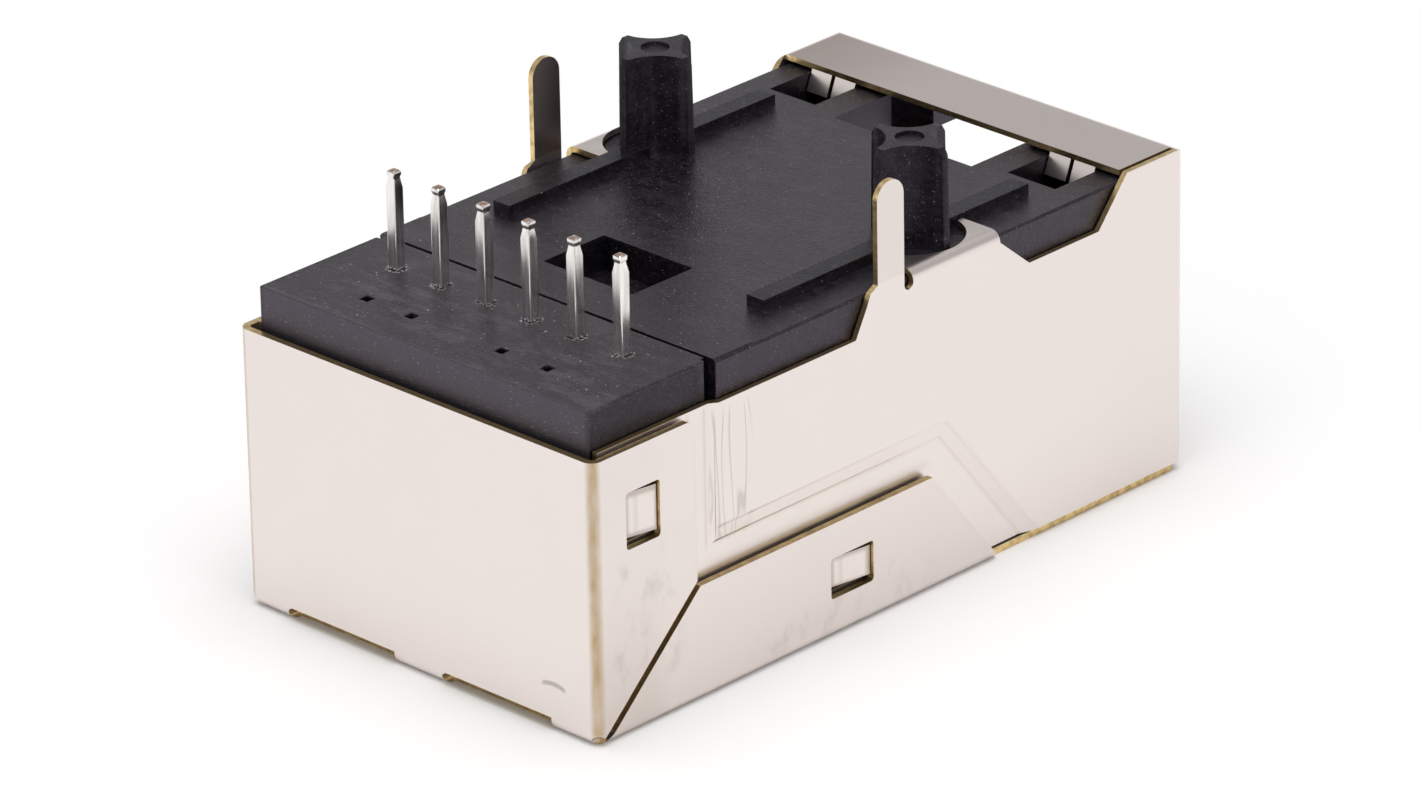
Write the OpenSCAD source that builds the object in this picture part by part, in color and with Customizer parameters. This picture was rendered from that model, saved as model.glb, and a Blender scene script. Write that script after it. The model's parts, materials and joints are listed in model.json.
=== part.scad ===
// Shielded single-port modular jack for a circuit board, with built-in magnetics.
// It lies on the flat face of its shield, pins up: +Z points to the circuit board,
// -Y to the plug, and X runs across. The origin is the middle of the face it lies on.

/* [Overall] */
// Width over the side flaps of the rear shield
jack_w = 16.0; // [15.6:0.1:17]
// Length from the plug face to the back of the rear shield
jack_l = 28.2; // [27.4:0.1:31]
// Height from the shield's flat face to the board seat on top of the ribs
seat_h = 11.7; // [11.5:0.1:12.6]

/* [Rear shield] */
// Thickness of the rear shield's sheet
rear_t = 0.25; // [0.2:0.01:0.3]
// Height of its back wall and side flaps
rear_h = 9.9; // [9.4:0.05:9.95]
// Reach of the side flaps forward from the back of the jack
side_flap_l = 4.6; // [3.8:0.1:5]
// Outer radius of its bends
rear_bend = 0.4; // [0.32:0.02:0.5]
// Height of the lower flaps, which fold up from the plate
low_flap_h = 4.05; // [3.4:0.05:4.4]
// Distance from the back of the jack to the front end of a lower flap's top edge
low_flap_l = 15.6; // [14:0.1:17]
// Free strip of plate between its front edge and the plug face
plate_setback = 0.5; // [0.3:0.05:1.2]
// Length of each relief slot along the bend between back wall and plate
bend_slot_l = 4.7; // [3:0.1:5]

/* [Front shield] */
// Thickness of the front shield's sheet
front_t = 0.2; // [0.18:0.01:0.3]
// Outer radius of its bends
front_bend = 0.4; // [0.32:0.02:0.5]
// Height of its side walls over most of their length
side_h = 10.0; // [9.6:0.05:10.3]
// Depth to which its sides are pressed in under the flaps
pan_d = 0.2; // [0.1:0.02:0.25]
// Margin of the pressed-in area round the flaps
pan_margin = 1.1; // [0.8:0.1:1.4]
// Length of the strip it folds over the board side, from the plug face
strip_l = 2.9; // [2.4:0.1:3.2]
// Width of a ground tab
tab_w = 1.25; // [0.9:0.05:1.4]
// Height of the ground tabs above the board seat
tab_rise = 3.35; // [2.5:0.05:3.8]
// Distance from the pegs back to the middle of the ground tabs
tab_to_peg = 3.2; // [3:0.1:3.4]
// Gap between a lip and the rib beside it
lip_gap = 0.06; // [0.04:0.02:0.4]
// Distance from the pegs to the front end of a lip
lip_front = 2.0; // [1.6:0.1:2.4]

/* [Port] */
// Width of the cavity for the plug
plug_w = 11.9; // [11.7:0.05:12]
// Height of the cavity for the plug
plug_h = 6.8; // [6.6:0.05:6.9]
// Depth of the cavity from the plug face
plug_d = 11.6; // [11:0.1:12.4]
// Thickness of plastic under the cavity, where the contacts lie
floor_t = 1.25; // [1.15:0.05:1.3]
// Width of the slot for the plug's latch
latch_w = 6.2; // [6.1:0.1:6.8]
// Width of the narrower slot for the thumb of the latch
thumb_w = 4.2; // [3.8:0.1:4.6]
// Distance from the plug face to the back of the latch slot
latch_l = 5.3; // [4.9:0.1:5.6]

/* [Housing] */
// Height of the standoff ribs above the deck
rib_h = 0.35; // [0.25:0.05:0.6]
// Width of the standoff ribs
rib_w = 0.75; // [0.5:0.05:1]
// Distance between the locating pegs
peg_pitch = 11.43; // [11.1:0.01:11.8]
// Radius of a peg at its foot, over its four lobes
peg_r = 1.62; // [1.4:0.02:1.7]
// Height of the pegs above the board seat
peg_rise = 3.25; // [2.5:0.05:3.6]
// Distance from the pin row forward to the pegs
peg_to_pins = 12.7; // [12.4:0.1:13]
// Distance from the plug face to the back of the pockets for the strip's tongues
tongue_pocket_l = 4.9; // [4.6:0.1:5.6]
// Thickness of the housing's side walls round the inner room
room_wall = 0.8; // [0.6:0.05:1]

/* [Rear case] */
// Length of the rear case
case_l = 5.45; // [5.2:0.05:6]
// Width of the seam between rear case and housing
seam = 0.12; // [0.08:0.02:0.2]
// Thickness of its back wall
case_wall = 0.9; // [0.7:0.05:1.1]
// Thickness of its board-side wall, which holds the pins
deck_t = 1.6; // [1.4:0.05:1.8]

/* [Pins and contacts] */
// Pitch of the board pins
pin_pitch = 2.03; // [1.95:0.01:2.1]
// Side of the square pin wire
pin_t = 0.4; // [0.36:0.01:0.5]
// Height of the pins above the board seat
pin_rise = 3.1; // [2.5:0.05:3.6]
// Distance from the back of the jack to the pin row
pin_setback = 4.4; // [4.2:0.1:4.5]
// Distance from the pin row back to the row of unused holes
spare_gap = 2.34; // [2.2:0.02:2.4]
// Side of an unused hole
spare_t = 0.36; // [0.3:0.01:0.4]
// Pitch of the contacts
contact_pitch = 1.02; // [1:0.01:1.04]
// Width of a contact wire
contact_w = 0.46; // [0.4:0.01:0.5]
// Thickness of a contact wire
contact_t = 0.3; // [0.25:0.01:0.32]

/* [Inside] */
// Thickness of the circuit board
board_t = 0.8; // [0.6:0.05:1]
// Height of the circuit board's lower face above the shield's flat face
board_z = 3.2; // [3:0.1:3.6]
// Outer diameter of a toroid with its winding
toroid_d = 2.8; // [2.5:0.05:2.9]
// Diameter of a toroid's round section, with its winding
toroid_t = 1.0; // [0.8:0.05:1.1]
// Number of turns shown on each toroid
turns = 12; // [8:1:14]
// Diameter of the winding wire
wire_d = 0.14; // [0.1:0.01:0.18]

/* [Clearances] */
// Gap between plastic and shield
fit_gap = 0.05; // [0.02:0.01:0.1]
// Gap between the pressed-in sides and the flaps over them
flap_gap = 0.12; // [0.08:0.01:0.2]
// Gap between the front shield's floor and the plate over it
plate_gap = 0.05; // [0.02:0.01:0.1]
// Gap between the rear case and the back wall
case_gap = 0.22; // [0.1:0.02:0.3]
// Gap round pins, contacts and inner parts in their seats
seat_gap = 0.02; // [0.01:0.01:0.04]

/* [Hidden] */
$fn = 48;
e = 1;                                   // how far a cutter runs past what it cuts
pin_count = 6;
contact_count = 8;

// Half widths, from the outer face of the flaps inwards
flap_x = jack_w / 2;
flap_in_x = flap_x - rear_t;
pan_x = flap_in_x - flap_gap;            // outer face of the front shield under the flaps
wall_x = pan_x + pan_d;                  // its outer face everywhere else
wall_in_x = wall_x - front_t;
pan_in_x = pan_x - front_t;
body_x = wall_in_x - fit_gap;            // side of the housing
case_x = pan_in_x - fit_gap;             // side of the rear case
seam_slit = 0.15;                        // slit between two folds of the front shield
strip_x = wall_in_x - seam_slit;

// Heights, from the face it lies on upwards
shell_z = rear_t + plate_gap;            // underside of the front shield's floor
body_z = shell_z + front_t + fit_gap;    // underside of the plastic
deck_z = seat_h - rib_h;                 // board side of the plastic
strip_drop = 0.05;
strip_z = seat_h - strip_drop;           // outer face of the strip on the board side
lip_z = deck_z + seat_gap + front_t;     // outer face of the lips
cavity_z = body_z + floor_t;
cavity_top = cavity_z + plug_h;
latch_step_z = cavity_top + 1.4;         // top of the wide stage of the latch slot
thumb_top = deck_z - 0.3;                // top of the thumb stage in the shield

// Lengths, from the plug face backwards
front_y = -jack_l / 2;
back_y = jack_l / 2;
face_in_y = front_y + front_t;
body_y = face_in_y + fit_gap;
cavity_y = front_y + plug_d;             // back wall of the plug cavity
case_back_y = back_y - rear_t - case_gap;
case_y = case_back_y - case_l;
body_back_y = case_y - seam;
pin_y = back_y - pin_setback;
spare_y = pin_y + spare_gap;
peg_y = pin_y - peg_to_pins;
peg_x = peg_pitch / 2;
deck_step = 0.04;                        // how far the deck lies lower in front of its step
rib_x = peg_x + rib_w / 2;               // outer side of the ribs, which run through the pegs
lip_in_x = rib_x + lip_gap;              // inner edge of the lips
tab_y = peg_y + tab_to_peg;
strip_y = front_y + strip_l;
side_back_y = back_y - rear_t - 0.35;    // rear edge of the front shield's sides

// Rear shield: the low flap's front edge slants, and a slanted joint parts the flaps
side_flap_y = back_y - side_flap_l;
low_flap_y = back_y - low_flap_l;
low_flap_run = 0.8;                      // run of its front edge for each unit of height
joint_rise = 0.93;                       // rise of the joint for each unit of run
joint_gap = 0.26;                        // gap between the two flaps of a side
joint_drop = joint_gap * sqrt(1 + joint_rise * joint_rise);
plate_x = flap_in_x - 0.05;
corner_relief = 0.42;                    // holes where three folds meet
bend_slot_x = 1.2;                       // where the relief slots start, from the middle
bend_slot_h = 0.46;
window_r = 0.12;
high_window_low = [back_y - 2.98, 6.45]; // corners of the windows in the flaps, as [y, z]
high_window_high = [back_y - 1.46, 8.42];
low_window_low = [back_y - 12.75, 1.38];
low_window_high = [back_y - 10.75, 2.82];

// Front shield: pressed-in area, and the edge of its side walls towards the board
pan_y = side_flap_y - pan_margin;
pan_z = low_flap_h + pan_margin;
pan_front_y = low_flap_y - 0.6 * pan_margin;
pan_ramp = 0.22;                         // width of the sloping step round it
pan_inner_shift = 0.1;                   // how much wider the step is on the inside
lance_rise = 0.24;
tab_front_y = tab_y - tab_w / 2;
tab_back_y = tab_y + tab_w / 2;
tab_slot = 0.42;                         // slot between a ground tab and its lip
lip_back_y = tab_front_y - tab_slot;
lip_front_y = peg_y - lip_front;
lip_bend_z = lip_z - front_bend;
peg_clear = 0.2;                         // gap between a lip and the foot of its peg
notch_run = 1.4;                         // run of the slants beside the notch in the wall
tongue_w = 2.0;                          // pair of tongues under the strip
tongue_x = 5.4;
tongue_slit = 0.16;
tongue_lean = 0.3;                       // how far their ends reach back
tongue_l = 0.75;
pocket_d = 1.25;                         // depth of all pockets in the deck
rib_back = 7.3;                          // end of the ribs behind the pegs

// Inside the housing
room_y = cavity_y + 2.6;                 // front of the room behind the port
room_x = case_x - room_wall;
room_z = body_z + 0.9;
room_top = deck_z - deck_t;
comb_t = 0.6;                            // wall between port and contact carrier
carrier_x = 5.4;                         // half width of the contact carrier
carrier_y = cavity_y + comb_t + seat_gap;
carrier_back_y = room_y + 0.7;
carrier_z = room_z + seat_gap;
carrier_top = cavity_top - 1.2;
contact_z = body_z + 0.55;               // height of the contacts' lower run
contact_front_y = body_y + 1.9;          // where they turn back towards the port's rear
contact_turn_y = carrier_y + 1.2;        // where they rise to the circuit board
contact_tip_z = cavity_z + 2.5;
tip_room = 0.7;                          // free height above and below their ends
tip_slot_l = 0.5;                        // depth of the slots for them in the carrier
board_y = carrier_back_y + seat_gap;     // front edge of the circuit board
board_back_y = case_back_y - case_wall - 0.3;
board_x = room_x - 0.25;
board_top = board_z + board_t;
ledge_w = 0.9;                           // ledges that carry the circuit board
tail_l = 1.1;                            // contact tails on the circuit board
inner_gap = 0.3;                         // gap between neighbours on the circuit board
toroid_gap = 0.05;                       // gap between two toroids
toroid_y = board_y + tail_l + inner_gap + toroid_d / 2;
resistor_size = [1.6, 0.8, 0.45];
capacitor_size = [4.5, 1.5, 1.5];
pin_low = board_z - 0.5;                 // lower end of the board pins

// ---------------------------------------------------------------- helpers

// The children, and their mirror image on the other side of the jack
module both_sides() {
    children();
    mirror([1, 0, 0]) children();
}

// A block from one corner to the other
module block(low, high) {
    translate(low) cube(high - low);
}

// A sheet or block whose outline is given as [y, z] points, between two x
module side_plate(outline, x0, x1) {
    translate([x0, 0, 0])
        rotate([90, 0, 90])
            linear_extrude(x1 - x0) polygon(outline);
}

// Rounded rectangle from [x0, y0] to [x1, y1]
module round_rect(low, high, r) {
    size = high - low;
    translate(low + [r, 0]) square(size - [2 * r, 0]);
    translate(low + [0, r]) square(size - [0, 2 * r]);
    for (x = [low.x + r, high.x - r], y = [low.y + r, high.y - r])
        translate([x, y]) circle(r);
}

// Cutter that rounds an edge along x to radius r: the edge lies at [y, z], and the
// solid is on the [dy, dz] side of it
module round_edge_x(y, z, dy, dz, r) {
    translate([-jack_w, y, z])
        rotate([90, 0, 90])
            linear_extrude(2 * jack_w)
                difference() {
                    translate([min(-dy * e, dy * r), min(-dz * e, dz * r)]) square(r + e);
                    translate([dy * r, dz * r]) circle(r);
                }
}

// Bent wire or strip of thickness t through [y, z] points
module bent_strip(points, t) {
    for (i = [0:len(points) - 2]) {
        run = points[i + 1] - points[i];
        translate(points[i])
            rotate(atan2(run.y, run.x))
                translate([0, -t / 2]) square([norm(run), t]);
    }
    for (i = [1:len(points) - 2])
        translate(points[i]) circle(d = t);
}

// ---------------------------------------------------------------- rear shield

// Side flap: upright front edge, rounded top corner, slanted joint below
module side_flap_outline() {
    corner_r = 0.35;
    foot = joint_rise * side_flap_l;
    translate([side_flap_y + corner_r, rear_h - corner_r]) circle(corner_r);
    polygon([[side_flap_y, foot], [side_flap_y, rear_h - corner_r],
             [side_flap_y + corner_r, rear_h - corner_r], [side_flap_y + corner_r, rear_h],
             [back_y + e, rear_h], [back_y + e, -e], [back_y, 0]]);
}

// Low flap: flat top edge, slanted joint behind, slanted front edge
module low_flap_outline() {
    joint_y = back_y - (low_flap_h + joint_drop) / joint_rise;
    polygon([[back_y - joint_drop / joint_rise, 0], [joint_y, low_flap_h],
             [low_flap_y, low_flap_h], [low_flap_y - low_flap_run * low_flap_h, 0]]);
}

// Windows through both flaps of a side, where the lances of the front shield snap in
module flap_windows() {
    rotate([90, 0, 90])
        linear_extrude(2 * jack_w, center = true) {
            round_rect(high_window_low, high_window_high, window_r);
            round_rect(low_window_low, low_window_high, window_r);
        }
}

// Relief slot in the bend between back wall and plate, with a round end
module bend_slot(x) {
    block([x, back_y - 2 * rear_t, -e], [x + bend_slot_l, back_y + e, bend_slot_h]);
    translate([x + bend_slot_l, back_y - 2 * rear_t, bend_slot_h - rear_t])
        rotate([-90, 0, 0]) cylinder(h = 3 * rear_t, r = rear_t);
}

module rear_shield() {
    color([0.88, 0.85, 0.82])
        difference() {
            union() {
                intersection() {                 // back wall and side flaps
                    linear_extrude(rear_h)
                        difference() {
                            round_rect([-flap_x, side_flap_y - 2 * e], [flap_x, back_y], rear_bend);
                            round_rect([-flap_in_x, side_flap_y - 4 * e],
                                       [flap_in_x, back_y - rear_t], rear_bend - rear_t);
                        }
                    rotate([90, 0, 90])
                        linear_extrude(2 * jack_w, center = true) side_flap_outline();
                }
                intersection() {                 // low flaps, with their bends to the plate
                    translate([0, back_y, 0])
                        rotate([90, 0, 0])
                            linear_extrude(jack_l)
                                difference() {
                                    round_rect([-flap_x, 0], [flap_x, jack_w], rear_bend);
                                    round_rect([-flap_in_x, rear_t], [flap_in_x, 2 * jack_w],
                                               rear_bend - rear_t);
                                }
                    rotate([90, 0, 90])
                        linear_extrude(2 * jack_w, center = true) low_flap_outline();
                }
                block([-plate_x, front_y + plate_setback, 0], [plate_x, back_y, rear_t]);
            }
            round_edge_x(back_y, 0, -1, 1, rear_bend);
            both_sides() translate([flap_x, back_y, 0]) sphere(corner_relief);
            flap_windows();
            bend_slot(bend_slot_x);
            bend_slot(-bend_slot_x - bend_slot_l);
        }
}

// ---------------------------------------------------------------- front shield

// Everything on the inner side of one sloping step. At depth x the step's edge passes
// through the point [y, z], grown outwards; out is the angle it faces in the side view.
module step_side(x, edge, out, grow) {
    reach = 3 * jack_l;
    translate([x, edge.x, edge.y])
        rotate([out, 0, 0])
            translate([0, grow, 0])
                rotate([0, 0, atan2(pan_ramp, pan_d)])
                    translate([-reach / 2, -reach, -reach / 2]) cube(reach);
}

// Pressed-in area of a side, grown by some amount, from depth x0 out to x1. Its front
// slants like the low flap under it, and behind pan_y it runs up to the side's edge.
module pan_area(x0, x1, grow) {
    intersection() {
        block([x0, front_y, -e], [x1, back_y + e, seat_h + e]);
        union() {
            intersection() {
                step_side(x0, [pan_front_y, pan_z], 180 - atan(low_flap_run), grow);
                step_side(x0, [pan_front_y, pan_z], 90, grow);
            }
            step_side(x0, [pan_y, pan_z], 180, grow);
        }
    }
}

// What is cut away above the side walls: strip, notch, lip, tab and long rear edge
module side_edge_cutter() {
    high = strip_z + 2 * e;
    side_plate([[strip_y, high], [strip_y, strip_z], [strip_y + notch_run, side_h],
                [lip_front_y - notch_run, side_h], [lip_front_y, lip_bend_z],
                [tab_front_y, lip_bend_z], [tab_front_y, lip_z], [tab_back_y, lip_z],
                [tab_back_y + 0.35, lip_z - 0.2], [tab_back_y + 0.5, lip_z - 0.55],
                [tab_back_y + 1.05, side_h], [back_y + e, side_h], [back_y + e, high]],
               -jack_w, jack_w);
}

// Ground tab, with a round end, on a side wall
module ground_tab() {
    translate([wall_in_x, tab_y, 0])
        rotate([90, 0, 90])
            linear_extrude(front_t) {
                translate([-tab_w / 2, side_h - e])
                    square([tab_w, seat_h + tab_rise - tab_w / 2 - side_h + e]);
                translate([0, seat_h + tab_rise - tab_w / 2]) circle(d = tab_w);
            }
}

// Lip that folds in over the plastic, cut round the foot of the peg
module lip() {
    bend_in = front_bend - front_t;
    difference() {
        translate([0, lip_back_y, 0])
            rotate([90, 0, 0])
                linear_extrude(lip_back_y - lip_front_y) {
                    translate([wall_in_x, lip_bend_z - e / 4]) square([front_t, e / 4]);
                    intersection() {
                        translate([wall_x - front_bend, lip_bend_z])
                            difference() {
                                circle(front_bend);
                                circle(bend_in);
                            }
                        translate([wall_x - front_bend, lip_bend_z]) square(front_bend);
                    }
                    translate([lip_in_x, lip_z - front_t])
                        square([wall_x - front_bend - lip_in_x, front_t]);
                }
        translate([peg_x, peg_y, lip_bend_z]) cylinder(h = 2 * e, r = peg_r + peg_clear);
    }
}

// Lance for the window from low to high, hinged at its rear edge
module lance(low, high) {
    edge = 0.2;
    front = low.x + edge;
    back = high.x - edge;
    translate([0, 0, low.y + edge])
        linear_extrude(high.y - low.y - 2 * edge)
            polygon([[pan_in_x, back + edge], [pan_x, back + edge], [pan_x, back],
                     [pan_x + lance_rise, front], [pan_in_x + lance_rise, front],
                     [pan_in_x, back]]);
}

// Hole in the sheet round a lance
module lance_hole(low, high) {
    edge = 0.1;
    block([pan_in_x - e, low.x + edge, low.y + edge],
          [pan_x + e, high.x - 2 * edge, high.y - edge]);
}

// Opening in the face for the plug and its latch
module face_opening() {
    translate([0, front_y + e, 0])
        rotate([90, 0, 0])
            linear_extrude(2 * e) {
                translate([-plug_w / 2, cavity_z]) square([plug_w, plug_h]);
                translate([-latch_w / 2, cavity_z]) square([latch_w, latch_step_z - cavity_z]);
                translate([-thumb_w / 2, cavity_z]) square([thumb_w, thumb_top - cavity_z]);
            }
}

// Pair of tongues that hang from the strip into a pocket of the housing
module tongues() {
    back = strip_y - fit_gap;
    top = strip_z - front_t / 2;
    low = strip_z - front_t - tongue_l;
    difference() {
        side_plate([[back, top], [back - front_t, top], [back - front_t, strip_z - front_t],
                    [back - front_t + tongue_lean, low], [back + tongue_lean, low],
                    [back, strip_z - front_t]],
                   tongue_x - tongue_w / 2, tongue_x + tongue_w / 2);
        block([tongue_x - tongue_slit / 2, strip_y - e, 0],
              [tongue_x + tongue_slit / 2, strip_y + e, strip_z - front_t]);
    }
}

module front_shield() {
    color([0.86, 0.83, 0.80])
        difference() {
            union() {
                difference() {
                    union() {
                        difference() {           // box with rounded upright edges
                            translate([0, 0, shell_z])
                                linear_extrude(strip_z - shell_z)
                                    round_rect([-wall_x, front_y], [wall_x, back_y], front_bend);
                            translate([0, 0, shell_z + front_t])
                                linear_extrude(strip_z - shell_z - 2 * front_t)
                                    round_rect([-wall_in_x, face_in_y],
                                               [wall_in_x, back_y + 2 * e],
                                               front_bend - front_t);
                            block([-wall_in_x, strip_y, side_h], [wall_in_x, back_y + e, seat_h + e]);
                        }
                        both_sides()
                            pan_area(pan_in_x, wall_in_x + 0.2 * pan_d, pan_inner_shift);
                    }
                    both_sides() pan_area(pan_x, wall_x + e, 0);
                    both_sides() lance_hole(high_window_low, high_window_high);
                    both_sides() lance_hole(low_window_low, low_window_high);
                    side_edge_cutter();
                    block([-jack_w, side_back_y, -e], [jack_w, back_y + 2 * e, seat_h + 2 * e]);
                    block([-jack_w, front_y - e, -2 * e], [jack_w, back_y + 2 * e, shell_z]);
                    round_edge_x(front_y, strip_z, 1, -1, front_bend);
                    round_edge_x(front_y, shell_z, 1, 1, front_bend);
                    mirror([1, 0, 0])            // slit beside one end of the strip
                        block([strip_x, front_y + front_bend, strip_z - 2 * front_t],
                              [wall_in_x, strip_y + e, strip_z + e]);
                    rotate(90)                   // bend at its other end
                        round_edge_x(-wall_x, strip_z, 1, -1, front_bend);
                    both_sides()                 // slits beside the floor
                        block([pan_in_x - seam_slit, front_y + front_bend, -e],
                              [pan_in_x, back_y, shell_z + front_t + fit_gap]);
                    face_opening();
                }
                both_sides() {
                    ground_tab();
                    lip();
                    lance(high_window_low, high_window_high);
                    lance(low_window_low, low_window_high);
                    tongues();
                }
            }
            both_sides()                         // round foot of the slot beside a tab
                translate([wall_in_x - e, tab_front_y - tab_slot / 2, lip_bend_z])
                    rotate([0, 90, 0]) cylinder(h = 2 * e + front_t, d = tab_slot);
        }
}

// ---------------------------------------------------------------- housing

// Cross-section of a locating peg: four blunt lobes with hollow sides between them
module peg_plan() {
    waist = 0.47 * peg_r;
    hollow_r = 0.84 * peg_r;
    difference() {
        circle(peg_r);
        for (a = [45:90:315])
            rotate(a) translate([waist + hollow_r, 0]) circle(hollow_r);
    }
}

// Locating peg, slightly tapered, with a chamfered end and a shallow round mark on it
module peg() {
    foot = deck_z - deck_step - 0.06;
    height = seat_h + peg_rise - foot;
    top_r = 0.96 * peg_r;
    chamfer = 0.25;
    translate([peg_x, peg_y, foot])
        difference() {
            intersection() {
                linear_extrude(height) peg_plan();
                union() {
                    cylinder(h = height - chamfer, r1 = peg_r, r2 = top_r);
                    translate([0, 0, height - chamfer])
                        cylinder(h = chamfer, r1 = top_r, r2 = top_r - 0.6 * chamfer);
                }
            }
            translate([0, 0, height - 0.1]) cylinder(h = e, r = 0.3 * peg_r);
        }
}

// Standoff rib in line with a peg
module rib() {
    block([rib_x - rib_w, front_y + latch_l + 0.5, deck_z - e / 2],
          [rib_x, peg_y + rib_back, seat_h]);
}

// Slot for the plug's latch: wide stage, thumb stage, and the catch window behind them
module latch_slot() {
    back = front_y + latch_l;
    neck = (latch_w - thumb_w) / 2;
    shoulder = front_y + 2.5;
    translate([0, 0, cavity_z])
        linear_extrude(latch_step_z - cavity_z)
            translate([-latch_w / 2, front_y]) square([latch_w, latch_l]);
    translate([0, 0, cavity_z])
        linear_extrude(seat_h)
            polygon([[-thumb_w / 2, front_y], [thumb_w / 2, front_y],
                     [thumb_w / 2, shoulder - neck], [latch_w / 2, shoulder],
                     [latch_w / 2, back], [-latch_w / 2, back],
                     [-latch_w / 2, shoulder], [-thumb_w / 2, shoulder - neck]]);
}

// Channels for the contacts in the floor of the port, and slots in the comb wall
module contact_channels() {
    channel_w = contact_w + 0.12;
    low = contact_z - contact_t / 2 - seat_gap;
    for (i = [0:contact_count - 1]) {
        x = (i - (contact_count - 1) / 2) * contact_pitch;
        block([x - channel_w / 2, contact_front_y - 0.6, low],
              [x + channel_w / 2, contact_turn_y + contact_t, cavity_z]);
        block([x - channel_w / 2, cavity_y - e, low],
              [x + channel_w / 2, carrier_y + e / 2, contact_tip_z + tip_room]);
    }
}

// Pocket in the deck behind the ribs
module deck_pocket() {
    half_w = 2.0;
    back = body_back_y - 1.95;
    block([-half_w, back - 2.8, deck_z - pocket_d], [half_w, back, deck_z + e]);
}

module housing() {
    step_y = body_back_y - 1.8;
    bend_in = front_bend - front_t;
    color([0.17, 0.17, 0.18])
        difference() {
            union() {
                difference() {
                    translate([0, 0, body_z])    // front corners follow the shield's bends
                        linear_extrude(deck_z - body_z)
                            round_rect([-body_x, body_y], [body_x, body_back_y + e], bend_in);
                    block([-jack_w, body_back_y, -e], [jack_w, back_y, seat_h]);
                    both_sides()                 // chamfer under the bend of the lips
                        translate([body_x, 0, deck_z])
                            rotate([0, 45, 0])
                                cube([0.85 * bend_in, 2 * jack_l, 0.85 * bend_in], center = true);
                    both_sides()                 // sides give way to the pressed-in sheet
                        pan_area(pan_in_x - fit_gap, wall_x, pan_inner_shift + fit_gap);
                    block([-room_x, room_y, room_z], [room_x, body_back_y + e, room_top]);
                    block([-jack_w, body_y - e, deck_z - deck_step], [jack_w, step_y, deck_z + e]);
                }
                both_sides() {
                    rib();
                    peg();
                    block([board_x - ledge_w, carrier_back_y, room_z - fit_gap],
                          [room_x + fit_gap, body_back_y, board_z - seat_gap]);
                }
            }
            block([-plug_w / 2, front_y, cavity_z], [plug_w / 2, cavity_y, cavity_top]);
            latch_slot();
            contact_channels();
            deck_pocket();
            block([-carrier_x - seat_gap, carrier_y - seat_gap, room_z],
                  [carrier_x + seat_gap, room_y + e, carrier_top + seat_gap]);
            both_sides()                         // pockets for the strip's tongues
                block([tongue_x - tongue_w / 2 - fit_gap, strip_y - 2 * front_t - fit_gap,
                       deck_z - pocket_d],
                      [tongue_x + tongue_w / 2 + fit_gap, front_y + tongue_pocket_l, deck_z + e]);
        }
}

// ---------------------------------------------------------------- rear case

// Places of the board pins across the jack
function pin_x(i) = (i - (pin_count - 1) / 2) * pin_pitch;

module rear_case() {
    hole = pin_t + 2 * seat_gap;
    groove = 0.2;
    color([0.19, 0.19, 0.20])
        difference() {
            union() {
                difference() {
                    block([-case_x, case_y, body_z], [case_x, case_back_y, deck_z]);
                    block([-room_x, case_y - e, room_z],
                          [room_x, case_back_y - case_wall, room_top]);
                }
                both_sides()                     // ledges that carry the circuit board
                    block([board_x - ledge_w, case_y, room_z - fit_gap],
                          [room_x + fit_gap, case_back_y - case_wall + fit_gap,
                           board_z - seat_gap]);
            }
            for (i = [0:pin_count - 1])
                translate([pin_x(i) - hole / 2, pin_y - hole / 2, pin_low - seat_gap])
                    cube([hole, hole, seat_h - pin_low]);
            for (x = [-2, -1, 1, 2] * pin_pitch)
                translate([x - spare_t / 2, spare_y - spare_t / 2, deck_z - deck_t / 2])
                    cube([spare_t, spare_t, deck_t]);
            both_sides()                         // groove along the seam at the sides
                block([case_x - groove, case_y - e, body_z - e],
                      [case_x + e, case_y + groove, deck_z + e]);
        }
}

// ---------------------------------------------------------------- contacts

// Route of a contact wire, as [y, z] points from its tail to its free end
function contact_route() =
    let (tail_z = board_top + contact_t / 2 + seat_gap / 2)
    [[board_y + tail_l, tail_z], [contact_turn_y, tail_z], [contact_turn_y, contact_z],
     [contact_front_y, contact_z], [contact_front_y - 0.25, contact_z + 0.3],
     [contact_front_y, contact_z + 0.6], [cavity_y + 0.3, contact_tip_z]];

// Contact wire, grown by some amount all round
module contact_wire(i, grow) {
    x = (i - (contact_count + 1) / 2) * contact_pitch;
    w = contact_w + 2 * grow;
    translate([x - w / 2, 0, 0])
        rotate([90, 0, 90])
            linear_extrude(w) bent_strip(contact_route(), contact_t + 2 * grow);
}

module contact(i) {
    color([0.85, 0.68, 0.33]) contact_wire(i, 0);
}

// Block that holds the contacts, with a foot for the circuit board
module contact_carrier() {
    color([0.24, 0.23, 0.22])
        difference() {
            block([-carrier_x, carrier_y, carrier_z], [carrier_x, carrier_back_y, carrier_top]);
            for (i = [1:contact_count]) contact_wire(i, seat_gap);
            for (i = [1:contact_count]) {        // open slots behind the comb wall
                x = (i - (contact_count + 1) / 2) * contact_pitch;
                w = contact_w + 0.12;
                block([x - w / 2, carrier_y - e, contact_tip_z - tip_room],
                      [x + w / 2, carrier_y + tip_slot_l, contact_tip_z + tip_room]);
            }
        }
}

// ---------------------------------------------------------------- pins and inner parts

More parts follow.
